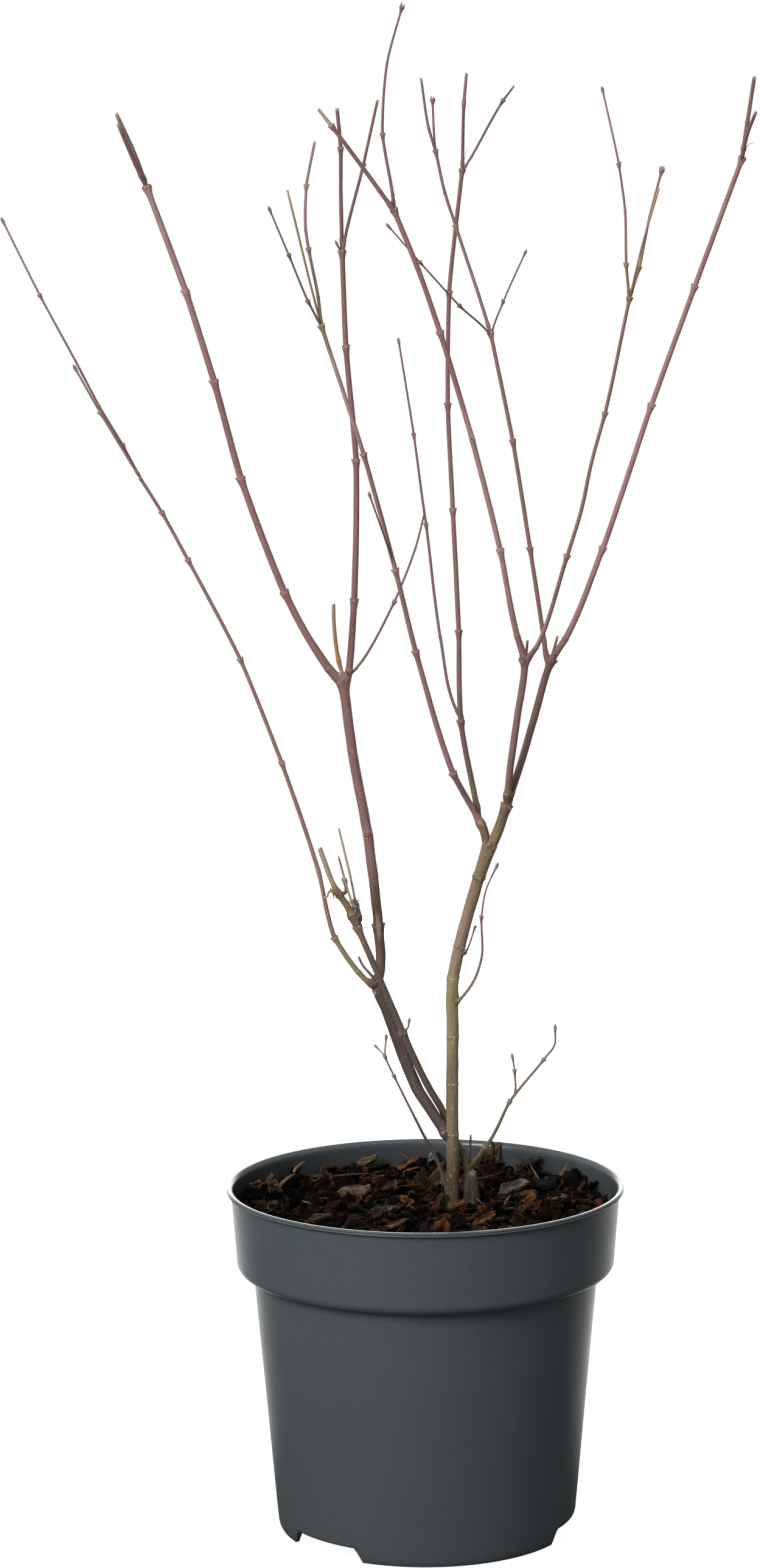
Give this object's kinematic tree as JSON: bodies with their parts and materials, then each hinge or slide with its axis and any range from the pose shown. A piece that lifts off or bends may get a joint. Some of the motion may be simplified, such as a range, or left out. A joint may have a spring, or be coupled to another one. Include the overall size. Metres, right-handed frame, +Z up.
{
  "type": "potted japanese maple",
  "caption": "Young Japanese maple in winter, bare of leaves, with slender upright branches from a forked trunk, growing in bark-topped soil in a round plastic nursery pot.",
  "frame": {"origin": "centre of the pot's flat underside, on the ground", "axes": "+Z up along the pot's axis to the plant's top; +X to the right and +Y away from the front as the picture shows it, the plant's spread being widest along X and least along Y"},
  "size_m": [0.4227, 0.23, 0.875],
  "materials": {
    "pot": "dark grey-green moulded plastic with a satin sheen and a fine speckle",
    "soil": "dark red-brown bark chips and splinters, matt and rough",
    "bark": "smooth young bark, olive-brown below and maroon-brown above, low satin",
    "twigs": "smooth red-brown young twig bark with pale ring scars and small pointed buds"
  },
  "bodies": {
    "root": {"centre_back_bough": "bark", "centre_back_side_twig": "twigs", "centre_back_tip_twigs": "twigs", "centre_left_bough": "bark", "centre_left_side_twig": "twigs", "centre_left_tip_twigs": "twigs", "left_bend_stub": "twigs", "left_bough": "bark", "left_foot_shoot": "twigs", "left_fork_stub": "twigs", "left_fork_twig": "twigs", "left_inner_bough": "bark", "left_inner_tip_twigs": "twigs", "left_outer_bough": "bark", "left_outer_tip_twigs": "twigs", "pot": "pot", "right_back_bough": "bark", "right_back_tip_twigs": "twigs", "right_foot_shoot": "twigs", "right_front_bough": "bark", "right_front_tip_twigs": "twigs", "right_inner_bough": "bark", "right_inner_fork_stub": "twigs", "right_inner_tip_twigs": "twigs", "right_outer_bough": "bark", "right_outer_fork_stub": "twigs", "right_outer_tip_twigs": "twigs", "second_stem": "bark", "second_stem_tip_twigs": "twigs", "soil": "soil", "stump_stub": "twigs", "trunk": "bark", "trunk_bud_twig": "twigs", "trunk_shoot": "twigs", "whip_bough": "bark", "whip_tip_twigs": "twigs"}
  },
  "joints": []
}
